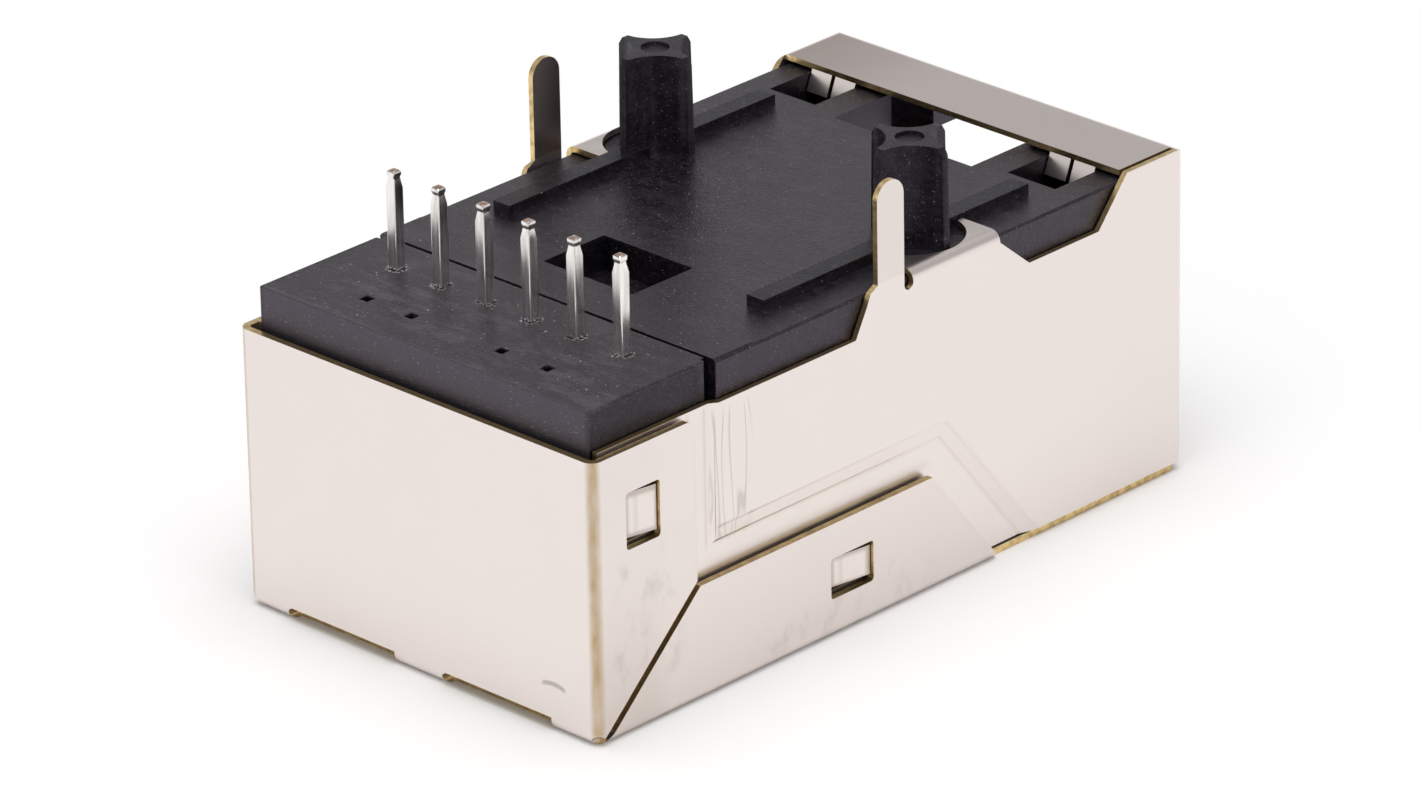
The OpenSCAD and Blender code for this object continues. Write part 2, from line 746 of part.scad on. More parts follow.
// Square wire pin, drawn in to a neck and a small head where it was snapped off
module board_pin(i) {
    low = pin_low;
    top = seat_h + pin_rise;
    half = pin_t / 2;
    neck = 0.72 * half;
    head = 0.86 * half;
    edge = [[half, low], [half, top - 0.62], [neck, top - 0.3], [neck, top - 0.24],
            [head, top - 0.17], [head, top - 0.05], [head - 0.05, top]];
    outline = concat(edge, [for (i = [len(edge) - 1:-1:0]) [-edge[i].x, edge[i].y]]);
    color([0.80, 0.79, 0.77])
        translate([pin_x(i - 1), pin_y, 0])
            intersection() {
                translate([0, half, 0]) rotate([90, 0, 0]) linear_extrude(pin_t) polygon(outline);
                translate([-half, 0, 0]) rotate([90, 0, 90]) linear_extrude(pin_t) polygon(outline);
            }
}

// Board that links contacts, toroids and pins, notched for the pins
module circuit_board() {
    color([0.10, 0.32, 0.20])
        difference() {
            block([-board_x, board_y, board_z], [board_x, board_back_y, board_top]);
            for (i = [0:pin_count - 1])
                translate([pin_x(i), pin_y, board_z - e])
                    cylinder(h = board_t + 2 * e, r = 0.76 * pin_t);
        }
}

// Where the four toroids lie: side by side, in a row behind the contacts' tails
function toroid_place(i) =
    [(i - 2.5) * (toroid_d + toroid_gap), toroid_y, board_top + toroid_t / 2 + seat_gap / 2];

wire_steps = 10;                         // straight pieces in each turn of a winding
ring_r = (toroid_d - toroid_t) / 2;
core_r = (toroid_t / 2 - wire_d) * cos(180 / wire_steps) - seat_gap;

module toroid(i) {
    color([0.30, 0.31, 0.33])
        translate(toroid_place(i))
            rotate_extrude() translate([ring_r, 0]) circle(core_r);
}

// Point on the winding: u runs from 0 to 1 round the ring, out is the distance from the
// middle of the ring's section
function winding_point(u, out) =
    let (arc = 330 * u, turn = 360 * turns * u, r = ring_r + out * cos(turn))
    [r * cos(arc), r * sin(arc), out * sin(turn)];

// One wire wound round the ring, as a sweep with a four-sided section
module winding(i) {
    rings = turns * wire_steps;
    mid = (toroid_t - wire_d) / 2;
    half = wire_d / 2;
    lean = 330 / turns / wire_steps;
    points = [for (k = [0:rings]) let (u = k / rings, a = 330 * u, side = [-sin(a), cos(a), 0])
              each [winding_point(u, mid - half), winding_point(u, mid) + half * side,
                    winding_point(u, mid + half), winding_point(u, mid) - half * side]];
    walls = [for (k = [0:rings - 1], j = [0:3])
             let (a = 4 * k + j, b = 4 * k + (j + 1) % 4) each [[a, b, b + 4], [a, b + 4, a + 4]]];
    color([0.72, 0.38, 0.20])
        translate(toroid_place(i))
            polyhedron(points, concat([[3, 2, 1, 0]],
                                      [[4 * rings, 4 * rings + 1, 4 * rings + 2, 4 * rings + 3]],
                                      walls));
}

// Chip part with two end caps, lying on the circuit board
module chip(place, size) {
    cap = 0.2 * size.x;
    rim = 0.04;
    translate(place + [0, 0, board_top + seat_gap / 2]) {
        translate([-size.x / 2 + rim, -size.y / 2 + rim, rim])
            cube(size - [2 * rim, 2 * rim, 2 * rim]);
        for (x = [-size.x / 2, size.x / 2 - cap])
            translate([x, -size.y / 2, 0]) cube([cap, size.y, size.z]);
    }
}

// Termination resistors, in a row behind the toroids
module resistor(i) {
    color([0.12, 0.12, 0.13])
        chip([toroid_place(i).x, toroid_y + (toroid_d + resistor_size.y) / 2 + inner_gap, 0],
             resistor_size);
}

// High-voltage capacitor between the pins and the board's rear edge
module capacitor() {
    color([0.62, 0.50, 0.38])
        chip([0, (pin_y + pin_t + board_back_y) / 2, 0], capacitor_size);
}

// ---------------------------------------------------------------- the jack

front_shield();
rear_shield();
housing();
rear_case();
contact_carrier();
for (i = [1:contact_count]) contact(i);
for (i = [1:pin_count]) board_pin(i);
circuit_board();
for (i = [1:4]) toroid(i);
for (i = [1:4]) winding(i);
for (i = [1:4]) resistor(i);
capacitor();
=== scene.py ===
# %% [markdown]
# # A shielded board jack
# This jack is two folded sheets of nickel-plated brass round two black mouldings, with six
# tinned pins. The packed frame already has every solid at its size, so this lesson gives
# them finish: soft edges, two formed shapes, plating that ends at each cut, moulded
# plastic, handling marks, and a plain studio to look at them in.

# %% Load the frame
import json
import math

import bmesh
import bpy
from mathutils import Matrix, Vector
from mathutils.bvhtree import BVHTree


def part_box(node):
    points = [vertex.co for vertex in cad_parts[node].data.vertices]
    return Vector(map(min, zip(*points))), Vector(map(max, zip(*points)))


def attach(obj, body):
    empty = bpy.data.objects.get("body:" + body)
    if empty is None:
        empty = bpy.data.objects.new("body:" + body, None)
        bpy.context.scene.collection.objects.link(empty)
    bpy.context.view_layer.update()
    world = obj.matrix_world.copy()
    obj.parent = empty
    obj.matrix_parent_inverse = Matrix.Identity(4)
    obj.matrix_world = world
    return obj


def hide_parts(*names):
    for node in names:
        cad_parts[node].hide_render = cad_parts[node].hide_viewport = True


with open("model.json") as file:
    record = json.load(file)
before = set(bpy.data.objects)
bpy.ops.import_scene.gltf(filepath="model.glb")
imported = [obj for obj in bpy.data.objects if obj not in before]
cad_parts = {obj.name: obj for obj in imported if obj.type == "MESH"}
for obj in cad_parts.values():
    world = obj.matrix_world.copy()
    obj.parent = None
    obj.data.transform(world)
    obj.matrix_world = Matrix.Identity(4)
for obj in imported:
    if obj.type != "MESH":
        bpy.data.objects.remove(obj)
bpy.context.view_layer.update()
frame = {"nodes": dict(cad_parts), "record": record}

nodes = frame["nodes"]
MM = 0.001                        # a millimetre, in metres

# %% [markdown]
# ## Places from the frame
# A mark belongs to a place on the jack, such as the back wall. Typed in, that place
# would go wrong as soon as the part changed, so places along the jack are measured from
# the boxes of its solids, and only heights and a few places across are typed. They are in
# millimetres: x across, y towards the back wall, and z up, away from the shield that the
# jack lies on.

# %% Places on the jack
def box_mm(node):
    """The lowest and highest corner of a solid, in millimetres."""
    return [tuple(round(value / MM, 3) for value in corner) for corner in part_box(node)]


FLAP_X, REAR = box_mm("rear_shield")[1][:2]           # faces of the flaps and the back wall
LANCE_X = box_mm("front_shield")[1][0]                # how far out its lances stand
FRONT = box_mm("front_shield")[0][1]                  # the face with the port
CASE_FRONT = box_mm("rear_case")[0][1]
CASE_X, CASE_BACK, CASE_TOP = box_mm("rear_case")[1]
PIN_TOP = box_mm("board_pin_1")[1][2]


def pin_middle(number, axis):
    low, high = box_mm(f"board_pin_{number}")
    return (low[axis] + high[axis]) / 2


PIN_ROW = pin_middle(1, axis=1)
PIN_PITCH = pin_middle(2, axis=0) - pin_middle(1, axis=0)
DECK = CASE_TOP - 0.05            # just under the board side of both mouldings
STRIP = CASE_TOP + 0.3            # the strip that crosses the board side
print("flaps at x", FLAP_X, "back wall at y", REAR, "deck at z", round(DECK, 3),
      "pins every", round(PIN_PITCH, 3))

# %% [markdown]
# ## Shader maths as plain expressions
# A material is a graph of nodes, and wiring it by hand hides what it says. The class
# Wire holds one output. Its operators add Math nodes, also when a plain number comes
# first, so `1 - mask` works. Every other node comes from one method, Graph.node.

# %% Wires
class Wire:
    """One output of a node, which can stand in an expression."""

    def __init__(self, graph, socket):
        self.graph, self.socket = graph, socket

    def math(self, operation, *values):
        sockets = dict(enumerate(values))
        return self.graph.node("ShaderNodeMath", {"operation": operation}, sockets)

    def __add__(self, other):
        return self.math("ADD", self, other)

    def __sub__(self, other):
        return self.math("SUBTRACT", self, other)

    def __rsub__(self, other):
        return self.math("SUBTRACT", other, self)

    def __mul__(self, other):
        return self.math("MULTIPLY", self, other)

    def __truediv__(self, other):
        return self.math("DIVIDE", self, other)

    def __rtruediv__(self, other):
        return self.math("DIVIDE", other, self)

    def __pow__(self, other):
        return self.math("POWER", self, other)

    def __rpow__(self, other):
        return self.math("POWER", other, self)

    def __abs__(self):
        return self.math("ABSOLUTE", self)

    def fraction(self):
        return self.math("FRACT", self)

    __radd__ = __add__
    __rmul__ = __mul__


print("reflected operators:", sorted(name for name in vars(Wire) if name.startswith("__r")))


# %% Graphs
class Graph:
    """The nodes of a new material, or of a world, made one at a time."""

    def __init__(self, name, world=None):
        self.home = world or bpy.data.materials.new(name)
        self.home.use_nodes = True
        self.tree = self.home.node_tree
        self.tree.nodes.clear()

    def node(self, kind, settings=None, sockets=None, output=0):
        """Adds a node: its settings first, then the values or wires of its sockets."""
        made = self.tree.nodes.new(kind)
        for name, value in (settings or {}).items():
            setattr(made, name, value)
        for name, value in (sockets or {}).items():
            if isinstance(value, Wire):
                self.tree.links.new(value.socket, made.inputs[name])
            else:
                made.inputs[name].default_value = value
        return Wire(self, made.outputs[output]) if made.outputs else None

    def place(self, stretch=(1, 1, 1)):
        """Where a point lies in the jack's own frame, in millimetres."""
        at = self.node("ShaderNodeTexCoord", output="Object")
        scale = [s / MM for s in stretch]
        return self.node("ShaderNodeVectorMath", {"operation": "MULTIPLY"}, {0: at, 1: scale})

    def split(self, vector):
        """The x, y and z of a vector, each a wire."""
        outputs = self.node("ShaderNodeSeparateXYZ", sockets={0: vector}).socket.node.outputs
        return [Wire(self, output) for output in outputs]

    def noise(self, size, detail=2, stretch=(1, 1, 1), rough=0.5):
        """Cloudy noise from 0 to 1 whose blobs are about size millimetres wide."""
        sockets = {"Vector": self.place(stretch), "Scale": 1 / size, "Detail": detail,
                   "Roughness": rough}
        return self.node("ShaderNodeTexNoise", sockets=sockets)

    def ramp(self, wire, low, high):
        """0 below low, 1 above high, and a smooth step between them."""
        sockets = {"Value": wire, "From Min": low, "From Max": high}
        return self.node("ShaderNodeMapRange", {"interpolation_type": "SMOOTHSTEP"}, sockets)

    def band(self, wire, low, high, soft):
        """1 between low and high, and 0 outside, with soft ends."""
        falling = 1 - self.ramp(wire, high - soft, high + soft)
        return self.ramp(wire, low - soft, low + soft) * falling

    def blend(self, mask, colour_0, colour_1):
        """colour_0 where mask is 0, colour_1 where it is 1."""
        settings = {"data_type": "RGBA", "clamp_factor": True}
        return self.node("ShaderNodeMix", settings, {0: mask, 6: colour_0, 7: colour_1}, output=2)

    def bump(self, height, depth):
        """A normal bent by a height from 0 to 1, depth millimetres deep."""
        sockets = {"Height": height, "Distance": depth * MM, "Strength": 1.0}
        return self.node("ShaderNodeBump", sockets=sockets)

    def shader(self, **sockets):
        """A Principled shader. Its sockets are named with _ in place of a space."""
        named = {name.replace("_", " "): value for name, value in sockets.items()}
        return self.node("ShaderNodeBsdfPrincipled", sockets=named)

    def output(self, shader):
        """The finished material, which shows this shader."""
        self.node("ShaderNodeOutputMaterial", sockets={"Surface": shader})
        print(self.home.name, "has", len(self.tree.nodes), "nodes")
        return self.home

    def surface(self, **sockets):
        """The finished material, with one Principled shader."""
        return self.output(self.shader(**sockets))


def rgb(red, green, blue):
    return (red, green, blue, 1.0)


FINISHES = {}                     # from a name to its finished material
FINE = 0.004                      # depth of the finest scratches
print("graph helpers ready")

# %% [markdown]
# ## Nickel plating
# Both shields are rolled brass under a thin, soft, bright nickel. A picture of worn metal
# could be wrapped round them, but it would blur close up and not know where the folds
# are. So the plating is a graph that reads where a point lies on the jack: first its own
# faintly clouded colour, then one mark after another laid over that.

# %% Rolled plate
plate = Graph("nickel_plate")
x, y, z = plate.split(plate.place())
clouds = plate.noise(2.6, detail=3)
colour = plate.blend(clouds, rgb(0.805, 0.74, 0.705), rgb(0.825, 0.76, 0.725))
print("plate:", len(plate.tree.nodes), "nodes before its marks")

# %% [markdown]
# ### Greyed faces
# Polished metal shows what stands round it, so no two faces of a shield look alike. On the
# marked flank the flaps are greyer than the wall they overlap, most of all low down and
# at the rear, and the wall greys towards its low front corner. Dark cards round the jack
# would be truer, because what metal mirrors changes with the view, but they would grey
# the other faces too. A colour laid on stays put, so it is true for one side only.

# %% Greyed faces
GREYED = rgb(0.64, 0.57, 0.53)
flap_face = 1 - plate.ramp(x, -FLAP_X + 0.02, -FLAP_X + 0.12)
to_foot = 1 - 0.8 * plate.ramp(z, 0.5, 6.5)
to_rear = 0.40 + 0.35 * plate.ramp(y, REAR - 3.6, REAR - 2.3)
colour = plate.blend(flap_face * to_foot * to_rear, colour, GREYED)

front_corner = (1 - plate.ramp(z, 0.5, 6.0)) * (1 - plate.ramp(y, FRONT + 1.1, FRONT + 9.1))
wall_face = 1 - plate.ramp(x, -FLAP_X + 0.1, -FLAP_X + 0.3)
colour = plate.blend(front_corner * 0.25 * wall_face, colour, GREYED)
print("plate:", len(plate.tree.nodes), "nodes with its greyed faces")


# %% [markdown]
# ### Marks of handling
# Fingers and fixtures leave soft grey wisps, here on the flaps of the marked flank. A
# noise drawn through a narrow ramp gives wisps, and a rectangle with soft ends keeps them
# in their place. The same mask roughens the metal later. The other flank is left plain.

# %% Marks of handling
def patch(y_span, z_span, y_soft, z_soft):
    """1 in a rectangle of the side walls, and 0 round it, with soft ends."""
    return plate.band(y, *y_span, y_soft) * plate.band(z, *z_span, z_soft)


on_side = 1 - plate.ramp(x, -FLAP_X + 0.5, -FLAP_X + 0.7)
wisps = plate.ramp(plate.noise(0.9, detail=4, stretch=(1, 1, 0.7), rough=0.6), 0.50, 0.80)
rear_flap = patch((REAR - 3.9, REAR - 0.7), (1.6, 6.4), 0.5, 0.8)
low_flap = patch((REAR - 15.1, REAR - 7.6), (0.2, 1.6), 1.0, 0.6)
touched = on_side * wisps * (rear_flap + low_flap)
colour = plate.blend(touched * 0.55, colour, rgb(0.46, 0.42, 0.40))
print("plate:", len(plate.tree.nodes), "nodes with the marks of handling")

# %% [markdown]
# ### Marks of the press, and painted shade of its steps
# The press draws an area of the wall in, so that the flaps can lie over it. The metal
# flows there, and on the marked flank it shows ripples like contour lines. The steps round
# that area get painted shade: two dark lines along the step beside the rear flap, and two
# dark bands above the low flap, one just over its edge and one faint where the step ends.
# The contour lines are the fraction of a smooth noise times seven, so they follow each
# other and never cross.

# %% Marks of the press and painted shade of its steps
CONTOURS = 7
swell = plate.noise(1.1, detail=1, stretch=(1, 1.2, 0.15))
contours = 1 - plate.ramp(abs((CONTOURS * swell).fraction() - 0.5), 0.04, 0.20)
ripple_area = patch((REAR - 7.3, REAR - 5.6), (5.2, 9.6), 0.2, 0.3) * on_side

# Painted shade: two thin dark lines along the step beside the rear flap.
beside_flap = plate.band(y, REAR - 5.44, REAR - 5.36, 0.07)
beside_flap = beside_flap + plate.band(y, REAR - 4.72, REAR - 4.60, 0.07)
step_shade_lines = beside_flap * plate.band(z, 5.0, 9.9, 0.2) * on_side

# Painted shade: a dark band just above the low flap and a faint line higher up, along the step.
step_shade_bands = plate.band(z, 4.25, 4.45, 0.22) + 0.45 * plate.band(z, 5.02, 5.08, 0.06)
step_shade_bands = step_shade_bands * plate.band(y, REAR - 15.7, REAR - 5.5, 0.4) * on_side * (1 - flap_face)

# The ripples are marks of the metal; the step lines and bands in this sum are painted shade.
pressed = 0.42 * contours * ripple_area + 0.30 * step_shade_lines + 0.28 * step_shade_bands
colour = plate.blend(pressed, colour, rgb(0.40, 0.35, 0.31))
print("plate:", len(plate.tree.nodes), "nodes with the marks of the press")

# %% [markdown]
# ### Lances in their windows
# A lance is a tongue of the wall, sprung out to catch in a window of the flap. It is bent
# across the middle, and dark where it dips under the frame of its window. A bend that
# small hardly shows in what the metal mirrors, so its shade is laid on as a colour too.

# %% Lances in their windows
LANCES = ((REAR - 2.95, REAR - 1.66, 6.65, 8.22),     # the span of each in y and in z
          (REAR - 12.6, REAR - 11.0, 1.5, 2.7))
behind_flap = 1 - plate.ramp(abs(x), FLAP_X - 0.12, FLAP_X - 0.02)
for y_0, y_1, z_0, z_1 in LANCES:
    whole = patch((y_0 - 0.2, y_1 + 0.1), (z_0 - 0.1, z_1 + 0.1), 0.02, 0.02)
    clear = patch((y_0 + 0.05, y_1 - 0.22), (z_0 + 0.12, z_1 - 0.2), 0.10, 0.10)
    fold = plate.band(y, y_1 - 0.55, y_1 - 0.45, 0.12) * 0.5
    dip = whole * (1 - clear * (1 - fold)) * behind_flap
    colour = plate.blend(dip * 0.6, colour, rgb(0.36, 0.31, 0.27))
print("shaded lances on each side:", len(LANCES))

# %% [markdown]
# ### Back wall, strip and corners
# The back wall has one small rubbed crescent low down: a band that follows a parabola.
# The strip over the board side looks duller, most at its far end, and whether that is the
# metal or what it mirrors can't be told, so it is laid on as a colour. Brass shows along
# the sharp back corners, unevenly, so a stretched noise breaks it up.

# %% Back wall, strip and corners
CRESCENT_X, CRESCENT_Z = 6.05, 1.62                   # how far to the side, and how high
above_arc = z - CRESCENT_Z + 0.35 * (x + CRESCENT_X) ** 2
its_width = plate.band(x, -CRESCENT_X - 0.5, -CRESCENT_X + 0.5, 0.1)
on_back = plate.ramp(y, REAR - 0.1, REAR)
crescent = plate.band(above_arc, -0.02, 0.14, 0.04) * its_width * on_back
colour = plate.blend(crescent * 0.7, colour, rgb(0.42, 0.39, 0.38))

# The strip is made darker by a laid-on colour, most at its far end.
on_strip = plate.ramp(z, STRIP - 0.06, STRIP - 0.02)
darker_strip = on_strip * (0.2 + 0.8 * plate.ramp(x, 1.5, FLAP_X)) * (0.7 + 0.4 * clouds)
colour = plate.blend(darker_strip, colour, rgb(0.54, 0.46, 0.43))

back_corner = plate.ramp(abs(x), FLAP_X - 0.40, FLAP_X - 0.14)
back_corner = back_corner * plate.ramp(y, REAR - 0.42, REAR - 0.12) * plate.ramp(z, 0.2, 0.5)
worn = plate.noise(0.25, detail=3, stretch=(1, 1, 0.3))
colour = plate.blend(back_corner * (0.35 + worn), colour, rgb(0.47, 0.35, 0.20))
print("plate:", len(plate.tree.nodes), "nodes with all its marks")

# %% [markdown]
# ### Gloss and ripples
# The finished plate mirrors softly, and less where it was touched. The denoiser treats a
# surface smoother than 0.274 as a mirror, and draws crooked outlines where a roughness
# wanders across that limit. So it starts at 0.28 and only goes up. The ripples of the
# press are the only marks deep enough to bend the normal.

# %% Gloss and ripples
SATIN = 0.28
rough = SATIN + 0.04 * clouds + 0.10 * touched + 0.2 * crescent
normal = plate.bump(swell * ripple_area, 0.05)
FINISHES["shield_nickel"] = plate.surface(Base_Color=colour, Roughness=rough, Metallic=1.0,
                                          Normal=normal)

# %% [markdown]
# ## Sheared edges
# The sheet is plated before it is cut, so every cut edge is bare brass: half bright from
# the punch, half torn and darker. It could be a mark on the plate, but a mask can't tell
# a cut edge from a fold, and the shape can. So it is a material of its own.

# %% Cut edge
brass = Graph("cut_edge_brass")
torn = brass.ramp(brass.noise(0.3, detail=3), 0.35, 0.7)
colour = brass.blend(torn, rgb(0.82, 0.63, 0.31), rgb(0.52, 0.38, 0.18))
FINISHES["cut_edge"] = brass.surface(Base_Color=colour, Roughness=SATIN + 0.10 * torn,
                                     Metallic=1.0, Normal=brass.bump(torn, FINE))

# %% [markdown]
# ## Black moulding
# The housing and the case behind it are a glass-filled nylon: near black, faintly violet
# where it shines, with a fine grain from the mould. The carrier of the contacts inside is
# the same in a paler tone, so one function makes both materials. It starts with the nylon
# itself, mottled dark and light, with pale ends of glass fibre here and there.

# %% Nylon
TONES = {"black_plastic": ("black_moulding", (0.0068, 0.0058, 0.0076)),
         "carrier_plastic": ("carrier_moulding", (0.05, 0.046, 0.042))}


def nylon_colour(nylon, mottle, tone):
    """Mottled nylon of this tone, before anything lies on it."""
    dark, light = ([share * part for part in tone] for share in (0.2, 1.6))
    return nylon.blend(nylon.ramp(mottle, 0.38, 0.64), rgb(*dark), rgb(*light))


def fibre_ends(nylon):
    return nylon.ramp(nylon.noise(0.05, detail=1, stretch=(0.5, 1, 1)), 0.70, 0.75)


print("tones of the nylon:", len(TONES))


# %% [markdown]
# ### What lies on the deck
# The board side has been handled most. It is smeared, most at the rear, dust lies on it,
# and shavings of tin stay where each pin was pushed through. The pins stand in a row at
# one pitch, so the fraction of x over that pitch finds them all with a few nodes, where a
# mask for each pin would take six times as many.

# %% Smears, dust and shavings
def smears_on_deck(nylon, y, on_deck):
    streaky = nylon.noise(0.7, detail=5, stretch=(0.35, 1, 1), rough=0.75)
    to_rear = 0.3 + 0.7 * nylon.ramp(y, REAR - 8.1, REAR - 2.1)
    return nylon.ramp(streaky, 0.47, 0.64) * to_rear * on_deck


def dust_on_deck(nylon, y, z, on_deck):
    specks = nylon.ramp(nylon.noise(0.11, detail=1), 0.75, 0.79)
    to_rear = 0.4 + 0.6 * nylon.ramp(y, REAR - 8.1, REAR - 4.1)
    off_pegs = 1 - 0.7 * nylon.ramp(z, DECK + 0.4, DECK + 0.6)
    return specks * on_deck * to_rear * off_pegs


def shavings_at_pins(nylon, x, y):
    """Specks in a ring round each of the six pins."""
    to_pin = ((x / PIN_PITCH).fraction() - 0.5) * PIN_PITCH
    in_row = 1 - nylon.ramp(abs(x), 2.9 * PIN_PITCH, 3 * PIN_PITCH)
    square = to_pin ** 2 + (y - PIN_ROW) ** 2         # of the distance to the pin
    near_pin = in_row * (1 - nylon.ramp(square, 0.08, 0.2))
    return nylon.ramp(nylon.noise(0.09, detail=1), 0.57, 0.61) * near_pin


print("pins found in x from", round(-2.5 * PIN_PITCH, 3), "to", round(2.5 * PIN_PITCH, 3))


# %% [markdown]
# ### The whole moulding
# The deck looks shinier than the pegs, the ribs and the flanks of the rear case, and the
# back of that case is painted paler, as painted light. How much a plastic mirrors is one
# number for a whole material when the part is exported, but the factor of a Mix Shader may
# change over the surface. So there are two shaders that differ only in that number, and a
# mask that mixes them.

# %% Moulding
def moulding(name, tone):
    nylon = Graph(name)
    x, y, z = nylon.split(nylon.place())
    grain = nylon.noise(0.07, detail=3, rough=0.6)
    clouds = nylon.noise(1.7, detail=3)
    mottle = nylon.noise(0.25, detail=4, rough=0.75)
    on_deck = nylon.ramp(z, DECK - 0.1, DECK)

    colour = nylon_colour(nylon, mottle, tone)
    smears = smears_on_deck(nylon, y, on_deck) * 0.9
    colour = nylon.blend(smears, colour, rgb(0.038, 0.036, 0.043))
    # Painted light: the back face of the rear case, and a thin line of the top along its edge,
    # are made paler, as a painted highlight.
    painted_light_on_back = nylon.ramp(y, CASE_BACK - 0.12, CASE_BACK - 0.04)
    colour = nylon.blend(painted_light_on_back, colour, rgb(0.030, 0.027, 0.032))
    colour = nylon.blend(fibre_ends(nylon) * 0.45, colour, rgb(0.34, 0.33, 0.34))
    specks = dust_on_deck(nylon, y, z, on_deck) * 0.8 + shavings_at_pins(nylon, x, y) * 0.7
    colour = nylon.blend(specks, colour, rgb(0.62, 0.60, 0.60))

    face = {"Base_Color": colour,
            "Roughness": SATIN + 0.04 * clouds + 0.04 * grain + 0.06 * mottle,
            "Normal": nylon.bump(0.6 * grain + 0.4 * mottle, 0.02),
            "Specular_Tint": rgb(0.93, 0.80, 1.03)}
    polished = nylon.shader(Specular_IOR_Level=0.61, **face)
    dull = nylon.shader(Specular_IOR_Level=0.27, **face)
    raised = nylon.ramp(z, DECK + 0.1, DECK + 0.3)
    flank = 0.6 * nylon.ramp(abs(x), CASE_X - 0.18, CASE_X - 0.08)
    flank = flank * nylon.ramp(y, CASE_FRONT + 0.32, CASE_FRONT + 0.52)
    sockets = {0: raised + flank, 1: polished, 2: dull}
    return nylon.output(nylon.node("ShaderNodeMixShader", sockets=sockets))


for slot, values in TONES.items():
    FINISHES[slot] = moulding(*values)


# %% [markdown]
# ## Tin, gold, copper
# The pins are drawn square wire dipped in bright tin, which leaves streaks along them,
# and their ends were snapped off after the dip, so the copper core shows there. The
# contacts are gold over nickel, and the windings are enamelled copper. All three are
# drawn through a die, so one function makes them, from a noise stretched along the wire.

# %% Drawn wire
def drawn_wire(name, bright, dull, low=SATIN):
    """Streaked metal. Its roughness starts at low."""
    wire = Graph(name)
    streaks = wire.noise(0.16, detail=1, stretch=(1, 1, 0.12))
    colour = wire.blend(wire.ramp(streaks, 0.3, 0.7), rgb(*dull), rgb(*bright))
    z = wire.split(wire.place())[2]
    at_tip = wire.ramp(z, PIN_TOP - 0.03, PIN_TOP - 0.015)
    core = at_tip * wire.ramp(wire.noise(0.2, detail=2), 0.35, 0.5)
    colour = wire.blend(core * 0.8, colour, rgb(0.50, 0.27, 0.16))
    return wire.surface(Base_Color=colour, Roughness=low + 0.12 * streaks, Metallic=1.0,
                        Normal=wire.bump(streaks, FINE))


FINISHES["tinned_wire"] = drawn_wire("tinned_wire", (0.90, 0.88, 0.86), (0.70, 0.68, 0.66),
                                     low=0.14)
FINISHES["contact_gold"] = drawn_wire("gold_contact", (0.88, 0.66, 0.30), (0.74, 0.53, 0.22))
FINISHES["copper_wire"] = drawn_wire("enamelled_copper", (0.75, 0.34, 0.15), (0.55, 0.22, 0.09))


# %% [markdown]
# ## What is inside
# The small board, ferrite rings, windings and chips only show if the jack is opened, or
# dimly through the port, so their finishes are simple, but still not one flat colour: a
# cloud of two tones, which also roughens and dents them a little.

# %% Inner finishes
def plain(name, colour_0, colour_1, size, rough):
    """Two tones clouded together, in blobs of about size millimetres."""
    body = Graph(name)
    tones = body.noise(size, detail=3)
    colour = body.blend(body.ramp(tones, 0.35, 0.65), rgb(*colour_0), rgb(*colour_1))
    return body.surface(Base_Color=colour, Roughness=rough + 0.1 * tones,
                        Normal=body.bump(tones, FINE))


INNER = {
    "board_green": ("board_resist", (0.02, 0.12, 0.06), (0.03, 0.17, 0.08), 0.8, 0.3),
    "ferrite": ("coated_ferrite", (0.06, 0.06, 0.065), (0.09, 0.09, 0.095), 0.2, 0.45),
    "resistor_body": ("chip_glaze", (0.02, 0.02, 0.024), (0.035, 0.035, 0.04), 0.3, SATIN),
    "capacitor_body": ("chip_ceramic", (0.36, 0.26, 0.16), (0.46, 0.34, 0.22), 0.3, 0.45),
}
for slot, values in INNER.items():
    FINISHES[slot] = plain(*values)
print("finishes:", len(FINISHES))

# %% [markdown]
# ## Copies that take soft edges
# A CAD mesh has knife edges and many triangles on each flat face, and a real edge always
# catches a line of light. A bevel in the material would show that line, but only in a
# render. Here each solid is copied, the points of its triangles are welded, and its flat
# triangles are joined, so that a bevel finds clean edges. The solid stays as it is, and
# the copy stands in for it.

# %% Copies of the solids
WELD = 0.0002                     # points closer than this are one
FLAT_TURN, SHARP_TURN = 0.4, 35   # degrees: joined below the first, beveled above the second


def welded(node):
    """A bmesh of a CAD solid, with the points of neighbouring faces joined."""
    mesh = bmesh.new()
    mesh.from_mesh(nodes[node].data)
    bmesh.ops.remove_doubles(mesh, verts=mesh.verts, dist=WELD * MM)
    mesh.normal_update()
    return mesh


def join_flats(mesh):
    """Joins the triangles of each flat face, but not across two finishes."""
    bmesh.ops.dissolve_limit(mesh, angle_limit=math.radians(FLAT_TURN), verts=mesh.verts,
                             edges=mesh.edges, delimit={"MATERIAL"})


def bevel(mesh, edges, width, segments, profile):
    """Rounds edges to a width in millimetres."""
    bmesh.ops.bevel(mesh, geom=edges, offset=width * MM, segments=segments, profile=profile,
                    affect="EDGES", clamp_overlap=True)


def soften(mesh, width):
    """Bevels every edge that turns by more than a gentle fold does."""
    least = math.radians(SHARP_TURN)
    sharp = [edge for edge in mesh.edges if edge.is_manifold
             and least < edge.calc_face_angle() < math.pi]
    bevel(mesh, sharp, width, segments=2, profile=0.6)


print("triangles of the solids:", sum(len(solid.data.polygons) for solid in nodes.values()))


# %% [markdown]
# ## Cut faces of the sheets
# The brass has to lie on the cut faces of a sheet and nowhere else. Each triangle is
# tested by a look straight into the metal behind it. Through the flat of the sheet the far
# side is one thickness away, and behind a cut edge there is much more metal than that.

